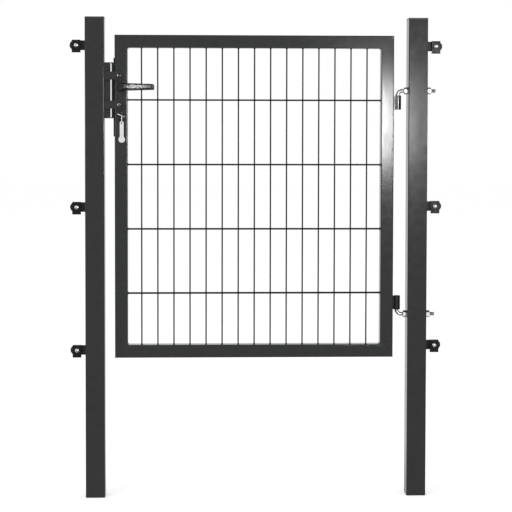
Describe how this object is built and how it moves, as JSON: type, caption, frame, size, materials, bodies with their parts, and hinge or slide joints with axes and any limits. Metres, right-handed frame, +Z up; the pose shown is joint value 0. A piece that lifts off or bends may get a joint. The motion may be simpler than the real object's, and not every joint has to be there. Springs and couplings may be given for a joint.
{
  "type": "mesh garden gate",
  "caption": "Garden gate with a square tube leaf, welded bar mesh, lever lock and key, adjustable hook hinges, and capped posts with fence panel clips.",
  "frame": {"origin": "middle of the hinge post's foot", "axes": "+X to the right seen from the front, +Y away from the front, +Z up"},
  "size_m": [1.156, 0.1304, 1.49],
  "materials": {
    "anthracite_coat": "satin powder coat",
    "zinc": "bright zinc plate",
    "cap_plastic": "matt",
    "black_coat": "satin black",
    "lock_steel": "zinc plate",
    "nickel": "nickel plate",
    "buffer_rubber": "matt"
  },
  "bodies": {
    "posts": {"hinge_post": "anthracite_coat", "latch_post": "anthracite_coat", "hinge_post_cap": "cap_plastic", "latch_post_cap": "cap_plastic", "hinge_post_tabs": "anthracite_coat", "latch_post_tabs": "anthracite_coat", "hinge_post_clips": "black_coat", "latch_post_clips": "black_coat", "hinge_post_clip_bolts": "zinc", "latch_post_clip_bolts": "zinc", "hinge_hook_upper": "zinc", "hinge_hook_lower": "zinc", "hook_nuts": "zinc", "hook_washers": "zinc", "keeper": "anthracite_coat", "strike_plate": "anthracite_coat", "stop_arms": "anthracite_coat", "stop_bolts": "black_coat", "stop_buffers": "buffer_rubber"},
    "leaf": {"latch_stile": "anthracite_coat", "hinge_stile": "anthracite_coat", "top_rail": "anthracite_coat", "bottom_rail": "anthracite_coat", "mesh_panel": "anthracite_coat", "hinge_barrel_upper": "anthracite_coat", "hinge_barrel_lower": "anthracite_coat", "lock_faceplate": "anthracite_coat", "lock_case": "lock_steel", "dead_bolt": "lock_steel", "lock_cylinder": "black_coat", "rosette_front": "black_coat", "rosette_back": "black_coat", "key": "nickel"},
    "handle": {"lever_front": "black_coat", "lever_back": "black_coat", "spindle": "lock_steel"},
    "latch": {"latch_bolt": "lock_steel"},
    "keys": {"key_ring": "nickel", "key_tag": "nickel"}
  },
  "joints": [
    {"name": "leaf_swing", "type": "hinge", "parent": "posts", "child": "leaf", "pos_m": [-0.0605, 0, 0.6], "axis": [0, 0, -1], "range_deg": [0, 90]},
    {"name": "handle_turn", "type": "hinge", "parent": "leaf", "child": "handle", "pos_m": [-0.919, 0, 1.275], "axis": [0, 1, 0], "range_deg": [0, 45], "stiffness_Nm_per_rad": 1.2, "springref_deg": -14.32},
    {"name": "latch_slide", "type": "slide", "parent": "leaf", "child": "latch", "axis": [1, 0, 0], "range_m": [0, 0.014]},
    {"name": "keys_swing", "type": "hinge", "parent": "leaf", "child": "keys", "pos_m": [-0.9153, -0.057, 1.1854], "axis": [0, 1, 0], "range_deg": [-12, 12]}
  ],
  "couplings": [
    {"joint": "latch_slide", "follows": "handle_turn", "m_per_rad": 0.017825}
  ]
}
